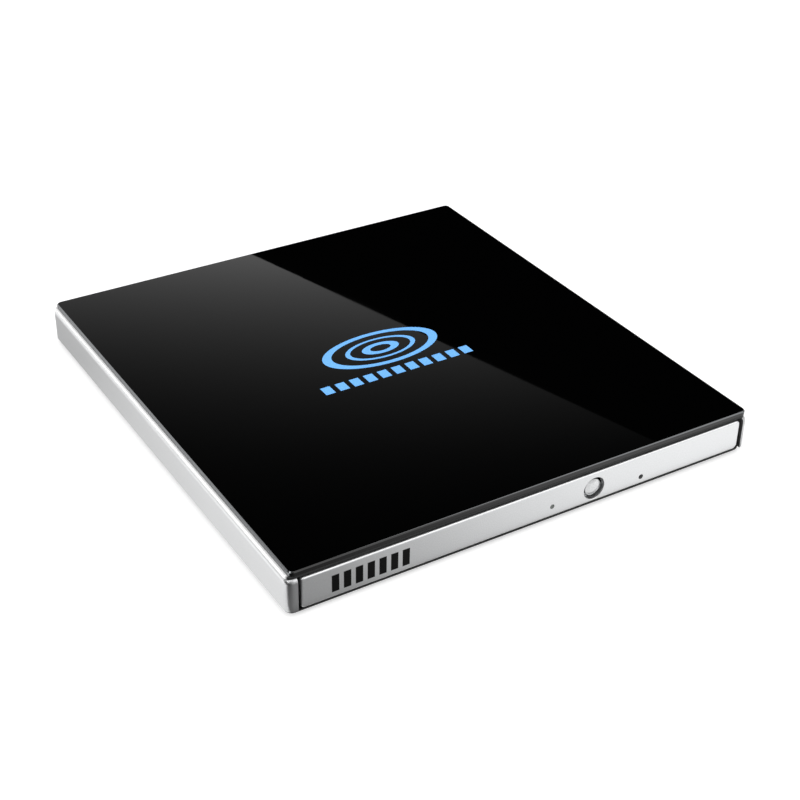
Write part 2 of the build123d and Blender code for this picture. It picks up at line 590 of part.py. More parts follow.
def tray_parts():
    NODES["tray"] = tray()
    NODES["deck_cover"] = deck_cover()
    NODES["underside_cover"] = underside_cover()
    NODES["front_bezel"] = front_bezel()
    NODES["eject_button"] = eject_button()
    NODES["led_light_pipe"] = rod_y(LED_X, (FRONT + 0.05, -65.3), LED_Z, LED_R)
    NODES["front_board"] = front_board()
    NODES["eject_switch"] = eject_switch()
    frame, coil, plunger = solenoid()
    NODES["solenoid_frame"] = frame
    NODES["solenoid_coil"] = coil
    NODES["solenoid_plunger"] = plunger
    NODES["latch_lever"] = latch_lever()
    head = post(PIVOT_X, PIVOT_Y, (2.9, 3.2), 1.5)
    NODES["latch_pivot_pin"] = head + post(PIVOT_X, PIVOT_Y, (3.2, 6.7), 0.78)
    NODES["latch_spring"] = Pos(PIVOT_X, PIVOT_Y, 4.6) * coil_spring(1.3, 0.15, 0.5, 1.3)
    pin = rod_y(-52, (41, 57.4), 5.3, 1.0) + rod_y(-52, (40.4, 41), 5.3, 1.6)
    NODES["ejector_pin"] = pin
    spring = Rot(-90, 0, 0) * coil_spring(1.35, 0.2, 1.05, 8.4)
    NODES["ejector_spring"] = Pos(-52, 41.3, 5.3) * spring
    NODES["cable_connector"] = block(
        (CABLE_X[0] - 0.5, CABLE_X[1] + 0.5), (CABLE_END_Y, CABLE_END_Y + 4.4), (4.8, TRAY_FLOOR[0]))


# ---- Disc mechanism, in the sled frame ----

def traverse_frame():
    outline = [(-19, -20), (-19, 25), (56.5, 25), (68.5, 13), (68.5, -12.5), (61, -20)]
    plate = prism(outline, PLATE_Z)
    for along, across in DAMPERS:
        plate += post(along, across, PLATE_Z, 4.3)
    opening = [(8, -16.5), (61.5, -16.5), (66, -12), (66, 12.5), (57, 21.5), (8, 21.5)]
    plate -= prism(opening, PLATE_Z) - post(0, 0, PLATE_Z, 13.3)
    plate -= block((-7.2, 8.1), (14.2, 22.8), PLATE_Z)
    for along, across in DAMPERS:
        plate -= post(along, across, PLATE_Z, 2.45)
    plate -= post(0, 0, PLATE_Z, 5.2)
    for across in (-ROD_OFFSET, ROD_OFFSET):
        outer = 1.7 if across < 0 else 0.98
        for ends in ((7.6, 9.4), (66.05, 68.4)):
            plate += block(ends, (across - 1.7, across + outer), (PLATE_Z[0], 6.7))
    for across in (-ROD_OFFSET, ROD_OFFSET):
        plate -= rod_x(ROD_SPAN, across, ROD_Z, ROD_R)
    return plate


def damper(along, across):
    ring = post(along, across, (3.45, 5.4), 3.2)
    ring -= post(along, across, (PLATE_Z[0], PLATE_Z[1]), 4) - post(along, across, PLATE_Z, 2.4)
    return ring - post(along, across, (3, 6), 1.0)


def sled_motor():
    """Flat stepper motor with the long bracket that carries the lead screw's far end."""
    can = block((-6.8, 5.2), (14.6, 22.4), (3.3, 6.9))
    can = fillet(can.edges().filter_by(Axis.X), 1.4)
    bracket = block((5.2, 6.0), (14.6, 22.4), (3.6, 6.6))
    bracket += block((5.2, 58.4), (21.7, 23.6), (PLATE_Z[1], PLATE_Z[1] + 0.5))
    bracket += block((57.6, 58.4), (17.0, 19.8), (4.2, 6.6))
    bracket += block((57.6, 58.4), (19.8, 23.6), (PLATE_Z[1], 6.6))
    return can + bracket - rod_x((5, 60), SCREW_OFFSET, ROD_Z, 0.75)


def lead_screw():
    shaft = rod_x((6.3, 57.3), SCREW_OFFSET, ROD_Z, SCREW_R)
    return shaft + rod_x((5.3, 58.3), SCREW_OFFSET, ROD_Z, 0.7)


def spindle_stator():
    teeth, tooth_w = 9, 1.7
    z = (5.4, 6.6)
    core = post(0, 0, z, 4.2)
    coils = []
    for i in range(teeth):
        turn = Rot(0, 0, i * 360 / teeth)
        core += turn * block((3.8, 9.2), (-tooth_w / 2, tooth_w / 2), z)
        shoe = post(0, 0, z, 10.2) - post(0, 0, z, 9.1)
        core += turn * (shoe & block((8, 11), (-2.9, 2.9), z))
        wound = block((5.2, 8.6), (-1.35, 1.35), (z[0] - 0.45, z[1] + 0.45))
        coils.append(turn * (wound - block((5, 9), (-0.9, 0.9), (z[0] - 0.05, z[1] + 0.05))))
    return core - post(0, 0, z, 2.5), group(coils)


def rotor_cup():
    cup = post(0, 0, (5.2, 8.0), 12.5) - post(0, 0, (5, 7.5), 11.9)
    cup += post(0, 0, (5.3, 7.4), 11.9) - post(0, 0, (5.2, 7.5), 10.6)
    return cup + post(0, 0, (4.1, 10.0), 1.0)


def turntable():
    """Hub and disc seat in one moulding, pressed on the shaft, with three pawl pockets."""
    table = post(0, 0, (8.05, 8.5), 14.6)
    hub = chamfer(post(0, 0, (8.4, HUB_TOP), HUB_R).faces().sort_by(Axis.Z)[-1].outer_wire().edges(), 0.35)
    table += hub
    for angle in PAWL_ANGLES:
        table -= Rot(0, 0, angle) * block((4.6, 9), (-1.1, 1.1), (9.2, 9.85))
    return table - post(0, 0, (8, 11), 1.02)


def hub_pawl(angle):
    z = (9.27, 9.78)
    pawl = block((5.1, 9), (-1.0, 1.0), z) & post(0, 0, z, PAWL_TIP_R)
    return on_sled(Rot(0, 0, angle) * pawl)


def pickup_body():
    low, high = 3.4, 6.6
    near, far = LENS_HOME - 11, LENS_HOME + 7
    outline = [(near, -15.5), (far - 4, -15.5), (far, -11.5), (far, 11.5), (far - 4, 15.5), (near, 15.5)]
    body = prism(outline, (low, high)) - post(0, 0, (low, high), 14.0)
    body -= block((LENS_HOME - 6, LENS_HOME + 6), (-7, 7), (4.4, high + 1))
    body -= block((near - 1, far + 1), (-16, -ROD_OFFSET), (ROD_Z - 1.05, ROD_Z + 1.05))
    body -= rod_x((near - 1, far + 1), -ROD_OFFSET, ROD_Z, ROD_R + 0.05)
    return body - rod_x((near - 1, far + 1), ROD_OFFSET, ROD_Z, ROD_R + 0.04)


def rack_nut():
    nut = block((14, 20.5), (15.5, 18.4), (4.3, 6.3))
    return nut - rod_x((13, 22), SCREW_OFFSET, ROD_Z, SCREW_R + 0.05)


def pickup_cover():
    cover = rounded_block((LENS_HOME - 7.6, LENS_HOME + 6.6), (-9.6, 9.6), (6.6, 6.8), 1.0)
    return cover - block((LENS_HOME - 5.6, LENS_HOME + 5.6), (-6.6, 6.6), (6, 7))


def lens_holder():
    holder = rounded_block((LENS_HOME - 4.2, LENS_HOME + 4.2), (-5.6, 5.6), (5.1, 6.9), 0.8)
    for across, radius in LENSES:
        holder -= post(LENS_HOME, across, (6, 7), radius)
        holder -= post(LENS_HOME, across, (5, 7), radius * 0.6)
    return holder


def objective_lens(across, radius):
    lens = post(LENS_HOME, across, (6.0, 7.2), radius)
    return fillet(lens.faces().sort_by(Axis.Z)[-1].outer_wire().edges(), 0.9)


def mechanism():
    NODES["traverse_frame"] = on_sled(traverse_frame())
    NODES["rubber_dampers"] = on_sled(group([damper(*spot) for spot in DAMPERS]))
    screws = [screw(*sled_point(*spot), (3.05, 3.45), 1.9, 0.8, 6.6) for spot in DAMPERS]
    screws += [screw(*spot, (3.05, 3.3), 1.6, 0.8, 6.4) for spot in BOARD_SCREWS]
    screws += [screw(*sled_point(*spot), (7.8, 8.1), 1.2, 0.6, 7.0) for spot in DECK_SCREWS]
    NODES["mechanism_screws"] = group(screws)
    NODES["guide_rods"] = on_sled(
        group([rod_x(ROD_SPAN, across, ROD_Z, ROD_R) for across in (-ROD_OFFSET, ROD_OFFSET)]))
    NODES["sled_motor"] = on_sled(sled_motor())
    NODES["lead_screw"] = on_sled(lead_screw())
    core, coils = spindle_stator()
    NODES["stator_core"] = on_sled(core)
    NODES["stator_coils"] = on_sled(coils)
    base = post(0, 0, (3.6, PLATE_Z[0]), 9.0) + post(0, 0, (3.6, 7.0), 2.4)
    NODES["spindle_motor_base"] = on_sled(base - post(0, 0, (4.0, 8), 1.03))
    NODES["rotor_cup"] = on_sled(rotor_cup())
    NODES["turntable"] = on_sled(turntable())
    NODES["turntable_pad"] = on_sled(post(0, 0, (8.5, DISC_Z), 14.2) - post(0, 0, (8, 9), 10.6))
    for number, angle in enumerate(PAWL_ANGLES, 1):
        NODES[f"hub_pawl_{number}"] = hub_pawl(angle)
    NODES["pickup_body"] = on_sled(pickup_body())
    NODES["rack_nut"] = on_sled(rack_nut())
    NODES["pickup_cover"] = on_sled(pickup_cover())
    NODES["lens_holder"] = on_sled(lens_holder())
    NODES["objective_lenses"] = on_sled(group([objective_lens(*lens) for lens in LENSES]))


def main():
    case()
    bridge()
    chassis()
    tray_parts()
    mechanism()
    os.makedirs("parts", exist_ok=True)
    for node, shape in NODES.items():
        export_step(shape, f"parts/{node}.step")


main()
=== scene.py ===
"""The looks of a slim external optical drive: its finishes, its small parts and a pale studio around it."""
import json
import math

import bmesh
import bpy
from mathutils import Matrix, Vector


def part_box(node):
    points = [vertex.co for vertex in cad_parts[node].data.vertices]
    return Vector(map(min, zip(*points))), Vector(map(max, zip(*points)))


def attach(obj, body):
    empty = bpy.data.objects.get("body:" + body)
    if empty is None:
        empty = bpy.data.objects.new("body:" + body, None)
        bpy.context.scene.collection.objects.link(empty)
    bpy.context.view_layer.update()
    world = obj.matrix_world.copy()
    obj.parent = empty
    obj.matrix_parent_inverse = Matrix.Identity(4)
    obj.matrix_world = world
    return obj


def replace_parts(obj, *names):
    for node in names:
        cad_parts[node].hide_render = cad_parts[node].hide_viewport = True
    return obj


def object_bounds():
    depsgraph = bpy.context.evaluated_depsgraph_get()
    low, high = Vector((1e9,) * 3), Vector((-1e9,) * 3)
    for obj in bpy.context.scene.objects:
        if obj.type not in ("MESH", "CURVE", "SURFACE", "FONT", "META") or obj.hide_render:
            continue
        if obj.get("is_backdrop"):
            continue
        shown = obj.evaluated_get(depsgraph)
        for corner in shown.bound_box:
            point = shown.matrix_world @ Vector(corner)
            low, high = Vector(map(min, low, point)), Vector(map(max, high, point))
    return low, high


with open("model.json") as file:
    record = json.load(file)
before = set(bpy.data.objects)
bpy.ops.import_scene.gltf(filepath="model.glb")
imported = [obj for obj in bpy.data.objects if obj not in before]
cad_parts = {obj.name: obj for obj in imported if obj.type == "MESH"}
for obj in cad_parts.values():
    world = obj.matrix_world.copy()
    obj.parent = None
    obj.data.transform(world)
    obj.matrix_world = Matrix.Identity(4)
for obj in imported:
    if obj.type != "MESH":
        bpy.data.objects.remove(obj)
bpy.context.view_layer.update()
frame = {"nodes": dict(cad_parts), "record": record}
MM = 0.001

# ---------------------------------------------------------------- camera
LENS = 69.72
SENSOR = 36.0
AZIMUTH = math.radians(-31.728)
ELEVATION = math.radians(32.21)
ROLL = math.radians(0.887)
DISTANCE = 425.86 * MM
AIM = Vector((2.206, -5.808, 0)) * MM


def place_camera():
    """The camera looks down at the front-left corner. Returns its place."""
    back = Vector((math.sin(AZIMUTH) * math.cos(ELEVATION),
                   -math.cos(AZIMUTH) * math.cos(ELEVATION),
                   math.sin(ELEVATION)))
    level = Vector((math.cos(AZIMUTH), math.sin(AZIMUTH), 0))
    upright = back.cross(level)
    right = math.cos(ROLL) * level + math.sin(ROLL) * upright
    up = math.cos(ROLL) * upright - math.sin(ROLL) * level
    data = bpy.data.cameras.new("camera")
    data.lens = LENS
    data.sensor_width = SENSOR
    data.clip_start = 0.01
    camera = bpy.data.objects.new("camera", data)
    turn = Matrix((right, up, back)).transposed().to_4x4()
    camera.matrix_world = Matrix.Translation(AIM + back * DISTANCE) @ turn
    bpy.context.scene.collection.objects.link(camera)
    bpy.context.scene.camera = camera
    return camera.matrix_world.translation.copy()


# ---------------------------------------------------------------- finishes
RIM_DARK = 0.9        # depth of the black stretch of the rim over the bezel
PAINTED_SHADE_REACH = 0.3      # how far over the front bevel the top plate's painted shade reaches at the left


class Finish:
    """A procedural material. Sizes are in millimetres, and the pattern is fixed to the object."""

    def __init__(self, name, **sockets):
        self.material = bpy.data.materials.new(name)
        self.material.use_nodes = True
        self.tree = self.material.node_tree
        self.shader = self.tree.nodes["Principled BSDF"]
        for socket, value in sockets.items():
            self.shader.inputs[socket.replace("_", " ")].default_value = value
        self.place = self.add("ShaderNodeTexCoord").outputs["Object"]
        self.relief = None

    def add(self, kind, **settings):
        """A new node with its settings."""
        node = self.tree.nodes.new(kind)
        for setting, value in settings.items():
            setattr(node, setting, value)
        return node

    def link(self, source, target):
        self.tree.links.new(source, target)

    def along(self, axis, low, high):
        """0 to 1 between two places on one axis of the part."""
        place = self.add("ShaderNodeSeparateXYZ")
        self.link(self.place, place.inputs[0])
        node = self.add("ShaderNodeMapRange")
        node.inputs["From Min"].default_value = low
        node.inputs["From Max"].default_value = high
        self.link(place.outputs[axis], node.inputs["Value"])
        return node.outputs["Result"]

    def math(self, operation, source, other):
        """A Math node over an output and a second output or a plain number."""
        node = self.add("ShaderNodeMath", operation=operation)
        self.link(source, node.inputs[0])
        if isinstance(other, float):
            node.inputs[1].default_value = other
        else:
            self.link(other, node.inputs[1])
        return node.outputs["Value"]

    def stretched(self, stretch):
        """The place on the object, with patterns drawn out along the axes."""
        node = self.add("ShaderNodeMapping")
        node.inputs["Scale"].default_value = [1 / s for s in stretch]
        self.link(self.place, node.inputs["Vector"])
        return node.outputs["Vector"]

    def noise(self, size, detail=3.0, stretch=(1, 1, 1)):
        """Cloudy noise with grains of about that size."""
        node = self.add("ShaderNodeTexNoise")
        node.inputs["Scale"].default_value = 1 / (size * MM)
        node.inputs["Detail"].default_value = detail
        self.link(self.stretched(stretch), node.inputs["Vector"])
        return node.outputs["Fac"]

    def cells(self, size, stretch=(1, 1, 1), feature="F1"):
        """A pattern of irregular cells."""
        node = self.add("ShaderNodeTexVoronoi", feature=feature)
        node.inputs["Scale"].default_value = 1 / (size * MM)
        self.link(self.stretched(stretch), node.inputs["Vector"])
        return node.outputs["Distance"]

    def bands(self, pitch, direction, wobble=0.0):
        """Stripes that follow each other along an axis."""
        node = self.add("ShaderNodeTexWave", bands_direction=direction)
        node.inputs["Scale"].default_value = math.pi / (10 * pitch * MM)
        node.inputs["Distortion"].default_value = wobble
        self.link(self.place, node.inputs["Vector"])
        return node.outputs["Fac"]

    def colour(self, fac, *stops):
        """The base colour runs through the stops, each a place from 0 to 1 and a colour."""
        ramp = self.add("ShaderNodeValToRGB")
        elements = ramp.color_ramp.elements
        for index, (spot, shade) in enumerate(stops):
            element = elements[index] if index < 2 else elements.new(spot)
            element.position = spot
            element.color = (*shade, 1)
        self.link(fac, ramp.inputs["Fac"])
        self.link(ramp.outputs["Color"], self.shader.inputs["Base Color"])
        return self

    def roughness(self, fac, low, high):
        """The roughness wanders between two values with a pattern."""
        node = self.add("ShaderNodeMapRange")
        node.inputs["From Min"].default_value = 0.25
        node.inputs["From Max"].default_value = 0.75
        node.inputs["To Min"].default_value = low
        node.inputs["To Max"].default_value = high
        self.link(fac, node.inputs["Value"])
        self.link(node.outputs["Result"], self.shader.inputs["Roughness"])
        return self

    def bump(self, height, depth):
        """Adds a relief of that depth on top of what is there."""
        node = self.add("ShaderNodeBump")
        node.inputs["Strength"].default_value = 1.0
        node.inputs["Distance"].default_value = depth * MM
        self.link(height, node.inputs["Height"])
        if self.relief:
            self.link(self.relief, node.inputs["Normal"])
        self.relief = node.outputs["Normal"]
        self.link(self.relief, self.shader.inputs["Normal"])
        return self


def grey(value, tint=0.0):
    """A neutral shade, slightly blue for a positive tint."""
    return (value * (1 - tint), value, value * (1 + tint))


def around(shade, spread):
    """Two colour stops a little darker and a little lighter than a shade."""
    dark = tuple(c * (1 - spread) for c in shade)
    light = tuple(min(1, c * (1 + spread)) for c in shade)
    return (0.3, dark), (0.7, light)


def moulded(name, shade, rough=0.5, grain=0.25, depth=0.012, spread=0.12, **sockets):
    """Moulded plastic with a spark-eroded skin and faint handling marks."""
    finish = Finish(name, **sockets)
    fine = finish.noise(grain, 2)
    finish.colour(fine, *around(shade, spread))
    finish.roughness(finish.noise(18, 5), rough - 0.03, rough + 0.06)
    finish.bump(finish.noise(grain * 5, 2), depth)
    return finish.bump(fine, depth)


def satin_metal(name, shade, rough):
    """Bead-blasted or metallic-painted silver."""
    finish = Finish(name, Metallic=1.0)
    sparkle = finish.noise(0.3, 4)
    broad = finish.noise(14, 3)
    finish.colour(sparkle, *around(shade, 0.06))
    finish.roughness(broad, rough - 0.03, rough + 0.04)
    return finish.bump(sparkle, 0.008)


def rolled_steel():
    """Sheet steel with long rolling streaks along Y and a faint zinc bloom."""
    finish = Finish("rolled_steel", Metallic=1.0)
    streaks = finish.noise(0.35, 4, (1, 60, 1))
    bloom = finish.cells(3.2)
    finish.colour(bloom, *around(grey(0.52), 0.06))
    finish.roughness(streaks, 0.26, 0.44)
    return finish.bump(streaks, 0.004)


def gloss_black():
    """Polished acrylic with a deep black face. Its edge is a smoky mirror painted lighter than the face, a
    painted reflection, but it is painted black at the front, a painted shade.

    The painted shade reaches over the front bevel at its left end and leaves it free at its right end, so the
    front edge is darker towards the left.
    """
    finish = Finish("gloss_black", IOR=1.5)
    low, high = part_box("top_plate")
    bevel, face = 0.72, 0.985
    height = finish.along("Z", low.z, high.z)
    # Painted shade: black along the front edge, reaching further over the front bevel towards the left end.
    front = finish.along("Y", low.y + MM, low.y)
    reach = finish.math("MULTIPLY", finish.along("X", high.x, low.x), PAINTED_SHADE_REACH)
    place = finish.math("MAXIMUM", height, finish.math("ADD", front, reach))
    # Painted reflection: below the face, the edge is a lighter smoky mirror.
    finish.colour(place, (bevel, grey(0.17, 0.03)), (bevel + 0.04, grey(0.13, 0.03)),
                  (face, grey(0.13, 0.03)), (face + 0.01, grey(0.0005, 0.05)))
    finish.link(finish.math("LESS_THAN", place, face), finish.shader.inputs["Metallic"])
    finish.roughness(finish.noise(22, 3), 0.008, 0.02)
    return finish.bump(finish.noise(6, 1), 0.0005)


def rim_painted_highlight():
    """Painted highlight: silver paint round the sides and the back stands in for the bright line along the
    case's rounded top edge; the stretch over the bezel keeps the rim's own smoky black.
    """
    finish = Finish("rim_painted_highlight", IOR=1.5, Specular_IOR_Level=0.2)
    low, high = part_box("top_frame")
    dark = RIM_DARK * MM / (high.y - low.y)
    # Painted highlight: light silver behind the black stretch at the front.
    finish.colour(finish.along("Y", low.y, high.y), (dark, grey(0.02, 0.02)), (dark + 0.001, grey(0.78)))
    finish.roughness(finish.noise(14, 3), 0.35, 0.45)
    return finish.bump(finish.noise(0.3, 4), 0.004)


def board_green():
    """Solder mask over a copper pattern."""
    finish = Finish("board_green", IOR=1.5)
    tracks = finish.cells(1.1, (1, 3.2, 1), "DISTANCE_TO_EDGE")
    ground = finish.noise(7, 2)
    finish.colour(tracks, (0.0, (0.012, 0.075, 0.035)), (0.11, (0.02, 0.13, 0.06)),
                  (0.13, (0.006, 0.05, 0.024)))
    finish.roughness(ground, 0.22, 0.38)
    return finish.bump(tracks, 0.01)


def winding():
    """Turns of enamelled copper wire."""
    finish = Finish("winding", Metallic=1.0)
    turns = finish.bands(0.16, "Z", wobble=0.4)
    finish.colour(turns, (0.2, (0.42, 0.14, 0.045)), (0.8, (0.83, 0.4, 0.17)))
    finish.roughness(finish.noise(0.5), 0.22, 0.36)
    return finish.bump(turns, 0.04)


def flat_cable():
    """Film over parallel tinned conductors that run along Y."""
    finish = Finish("flat_cable", IOR=1.5)
    conductors = finish.bands(0.5, "X")
    finish.colour(conductors, (0.35, (0.42, 0.36, 0.25)), (0.65, (0.7, 0.69, 0.66)))
    finish.roughness(finish.noise(4), 0.28, 0.42)
    return finish.bump(conductors, 0.02)


def rubber():
    """Matt black rubber."""
    finish = Finish("rubber")
    fine = finish.noise(0.3, 4)
    finish.colour(finish.noise(3), *around(grey(0.022), 0.3))
    finish.roughness(fine, 0.68, 0.88)
    return finish.bump(fine, 0.03)


def zinc_screw():
    """Dark zinc plating."""
    finish = Finish("zinc_screw", Metallic=1.0)
    finish.colour(finish.noise(0.9), *around(grey(0.3, 0.05), 0.2))
    finish.roughness(finish.noise(0.25), 0.25, 0.45)
    return finish.bump(finish.noise(0.2), 0.006)


def ground_steel():
    """Polished steel with grinding marks across Y."""
    finish = Finish("ground_steel", Metallic=1.0)
    finish.colour(finish.noise(4), *around(grey(0.72, 0.02), 0.05))
    finish.roughness(finish.noise(0.2, 3, (1, 12, 1)), 0.08, 0.2)
    return finish.bump(finish.noise(0.12), 0.002)


def die_cast():
    """Raw cast alloy with a coarse skin."""
    finish = Finish("die_cast", Metallic=1.0)
    skin = finish.noise(0.5, 5)
    finish.colour(finish.noise(5), *around(grey(0.42), 0.14))
    finish.roughness(skin, 0.42, 0.62)
    return finish.bump(skin, 0.03)


def clear_plastic(name, tint, ior):
    """A tinted clear moulding or lens."""
    finish = Finish(name, Transmission_Weight=0.9, IOR=ior)
    finish.colour(finish.noise(2), *around(tint, 0.04))
    finish.roughness(finish.noise(0.6), 0.03, 0.1)
    return finish.bump(finish.noise(0.8), 0.003)


def epoxy():
    """The dark moulding of a chip, with a fine grain."""
    finish = Finish("epoxy", IOR=1.5)
    grain = finish.noise(0.15, 3)
    finish.colour(grain, *around(grey(0.028), 0.25))
    finish.roughness(finish.noise(2), 0.5, 0.65)
    return finish.bump(grain, 0.01)


def plated(name, shade, rough):
    """Tin or gold plating."""
    finish = Finish(name, Metallic=1.0)
    finish.colour(finish.noise(0.4), *around(shade, 0.1))
    finish.roughness(finish.noise(0.15), rough - 0.06, rough + 0.1)
    return finish.bump(finish.noise(0.1), 0.004)


def printed(name, shade, rough=0.45, **sockets):
    """Screen-printed ink, a touch uneven."""
    finish = Finish(name, **sockets)
    mottle = finish.noise(0.4, 3)
    finish.colour(mottle, *around(shade, 0.05))
    finish.roughness(finish.noise(2), rough - 0.06, rough + 0.06)
    return finish.bump(mottle, 0.003)


def solid_finishes():
    """One finish for each material slot of the record."""
    made = {
        "black_gloss": gloss_black(),
        "black_satin": moulded("satin_black", grey(0.012), 0.36, 0.3, 0.008),
        "silver_case": satin_metal("silver_case", grey(0.53, 0.008), 0.34),
        "silver_bezel": satin_metal("silver_bezel", grey(0.74, 0.01), 0.36),
        "button_silver": satin_metal("button_silver", grey(0.68, 0.01), 0.22),
        "rubber": rubber(),
        "screw_steel": zinc_screw(),
        "sheet_steel": rolled_steel(),
        "polished_steel": ground_steel(),
        "tray_plastic": moulded("tray_plastic", grey(0.016), 0.44, 0.3, 0.02),
        "guide_plastic": moulded("guide_plastic", grey(0.035), 0.4, 0.3, 0.01),
        "white_plastic": moulded("acetal", (0.74, 0.73, 0.68), 0.34, 0.5, 0.006, 0.04,
                                 Subsurface_Weight=0.15),
        "label": printed("label_film", grey(0.62), 0.35),
        "circuit_board": board_green(),
        "copper": winding(),
        "clear": clear_plastic("light_pipe", (0.85, 0.93, 0.88), 1.49),
        "lens_glass": clear_plastic("lens_glass", (0.66, 0.72, 0.95), 1.6),
        "cable_film": flat_cable(),
        "die_cast": die_cast(),
    }
    return {slot: finish.material for slot, finish in made.items()}


def extra_finishes():
    """Finishes of the printed marks, the small parts and the rim's painted highlight."""
    made = {
        "blue_ink": printed("blue_ink", (0.155, 0.47, 1.0), 0.5),
        "black_ink": printed("black_ink", grey(0.0015), 0.3, Specular_IOR_Level=0.1),
        "grey_ink": printed("grey_ink", grey(0.05), 0.5),
        "epoxy": epoxy(),
        "tin": plated("tin", grey(0.62, 0.02), 0.26),
        "gold": plated("gold", (0.85, 0.58, 0.22), 0.22),
        "magnet": plated("nickel", grey(0.34), 0.3),
        "rim": rim_painted_highlight(),
        "ceramic": moulded("ceramic", (0.33, 0.24, 0.15), 0.4, 0.2, 0.004, 0.1),
    }
    return {name: finish.material for name, finish in made.items()}


def dress_nodes(finishes, special):
    """Each CAD node gets the finish of its record slot, unless it has a special one."""
    slots = {row["node"]: row["material_slot"] for row in frame["record"]["subparts"]}
    for name, node in frame["nodes"].items():
        node.data.materials.clear()
        node.data.materials.append(special.get(name) or finishes[slots[name]])


# ---------------------------------------------------------------- mesh helpers
SHARP_ANGLE = math.radians(35)


def piece(name, build, finish, body, bevel=0.0):
    """Makes a mesh object from a function that fills a bmesh in millimetres."""
    bm = bmesh.new()
    build(bm)
    bmesh.ops.recalc_face_normals(bm, faces=bm.faces)
    bm.transform(Matrix.Scale(MM, 4))
    mesh = bpy.data.meshes.new(name)
    bm.to_mesh(mesh)
    bm.free()
    obj = bpy.data.objects.new(name, mesh)
    bpy.context.scene.collection.objects.link(obj)
    mesh.materials.append(finish)
    if bevel:
        modifier = obj.modifiers.new("edge", "BEVEL")
        modifier.width = bevel * MM
        modifier.segments = 2
        modifier.limit_method = "ANGLE"
    mesh.shade_smooth()
    mesh.set_sharp_from_angle(angle=SHARP_ANGLE)
    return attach(obj, body)


def slab(bm, outline, low, high):
    """A closed prism over a flat outline."""
    floor = [bm.verts.new((x, y, low)) for x, y in outline]
    roof = [bm.verts.new((x, y, high)) for x, y in outline]
    bm.faces.new(list(reversed(floor)))
    bm.faces.new(roof)
    for index in range(len(outline)):
        after = (index + 1) % len(outline)
        bm.faces.new((floor[index], floor[after], roof[after], roof[index]))


def box(bm, xs, ys, zs):
    """A closed block between two places on each axis."""
    slab(bm, [(xs[0], ys[0]), (xs[1], ys[0]), (xs[1], ys[1]), (xs[0], ys[1])], *zs)


def washer(bm, centre, inner, outer, zs, steps=96, stretch=1.0):
    """A flat ring with a square section. The stretch makes it longer along X."""
    section = ((inner, zs[0]), (outer, zs[0]), (outer, zs[1]), (inner, zs[1]))
    loops = []
    for step in range(steps):
        angle = 2 * math.pi * step / steps
        across, along = stretch * math.cos(angle), math.sin(angle)
        loops.append([bm.verts.new((centre[0] + r * across, centre[1] + r * along, z)) for r, z in section])
    for step in range(steps):
        here, there = loops[step], loops[(step + 1) % steps]
        for index in range(len(section)):
            after = (index + 1) % len(section)
            bm.faces.new((here[index], there[index], there[after], here[after]))


# ---------------------------------------------------------------- studio
def card(name, rows, glow=()):
    """A flat reflector that only reflections see: rows of points, and the light that each point gives."""
    across = len(rows[0])
    points = [tuple(point) for row in rows for point in row]
    faces = []
    for down in range(len(rows) - 1):
        for over in range(across - 1):
            corner = down * across + over
            faces.append((corner, corner + 1, corner + across + 1, corner + across))
    mesh = bpy.data.meshes.new(name)
    mesh.from_pydata(points, [], faces)
    levels = mesh.attributes.new("glow", "FLOAT", "POINT")
    levels.data.foreach_set("value", glow or [0.0] * len(points))
    obj = bpy.data.objects.new(name, mesh)
    bpy.context.scene.collection.objects.link(obj)
    material = bpy.data.materials.new(name)
    material.use_nodes = True
    tree = material.node_tree
    tree.nodes.clear()
    out = tree.nodes.new("ShaderNodeOutputMaterial")
    light = tree.nodes.new("ShaderNodeEmission")
    level = tree.nodes.new("ShaderNodeAttribute")
    level.attribute_name = "glow"
    tree.links.new(level.outputs["Fac"], light.inputs["Strength"])
    tree.links.new(light.outputs["Emission"], out.inputs["Surface"])
    mesh.materials.append(material)
    obj.visible_camera = False
    obj.visible_diffuse = False
    obj.visible_shadow = False
    obj.visible_transmission = False
    obj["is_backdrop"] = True


# The soft box mirrored in the lid ends along a slanting line, from the back edge to the front edge.
GLARE_BACK, GLARE_FRONT = Vector((-2.6, 69.1)), Vector((37.4, -70.6))
GLARE_LEVEL = 0.74
GLARE_STEPS = 24                  # rows and columns of points that carry its falling light
CARD_Y = 1.0                      # in metres, as CARD_GAP between the black card and the soft box
CARD_GAP = 0.01
CARD_MARGIN = 26
# How bright the front panel's surroundings are, at places from left to right, and by distance.
FRONT_GLOW = ((-96, 0.02), (-80, 0.02), (-70, 0.16), (-64, 0.32), (-50, 0.38), (-30, 0.58), (0, 0.88),
              (30, 1.1), (50, 1.16), (80, 1.2), (250, 1.1))
FRONT_REACH = ((0.4, 0.1), (1.4, 0.5), (2.4, 1.0), (330, 1.0))
CORNER_FLAG = ((-100, -58), (-78, -108), 30)   # its two ends on the floor, and its height
# A panel low in the sky behind on the left, for the case's rounded edge.
EDGE_PANEL_X, EDGE_PANEL_Y = (-1300, 120), 950
EDGE_PANEL_GLOW = ((15, 1.9), (420, 1.8), (560, 0.95), (1000, 0.6))
# How bright the left side's surroundings are, at places from front to back.
SIDE_GLOW = ((-90, 1.3), (-60, 1.25), (-20, 1.15), (20, 1.0), (60, 0.75), (90, 0.7), (400, 0.7))
SIDE_REACH = ((0.4, 1.0), (9, 1.0), (18, 1.7), (330, 1.8))


def seen_in_lid(eye, x, y, lid_z):
    """The point of the plane y = CARD_Y that the camera sees mirrored at a place on the lid."""
    mirrored = Vector((eye.x, eye.y, 2 * lid_z - eye.z))
    ray = Vector((x * MM, y * MM, lid_z)) - mirrored
    return mirrored + ray * ((CARD_Y - mirrored.y) / ray.y)


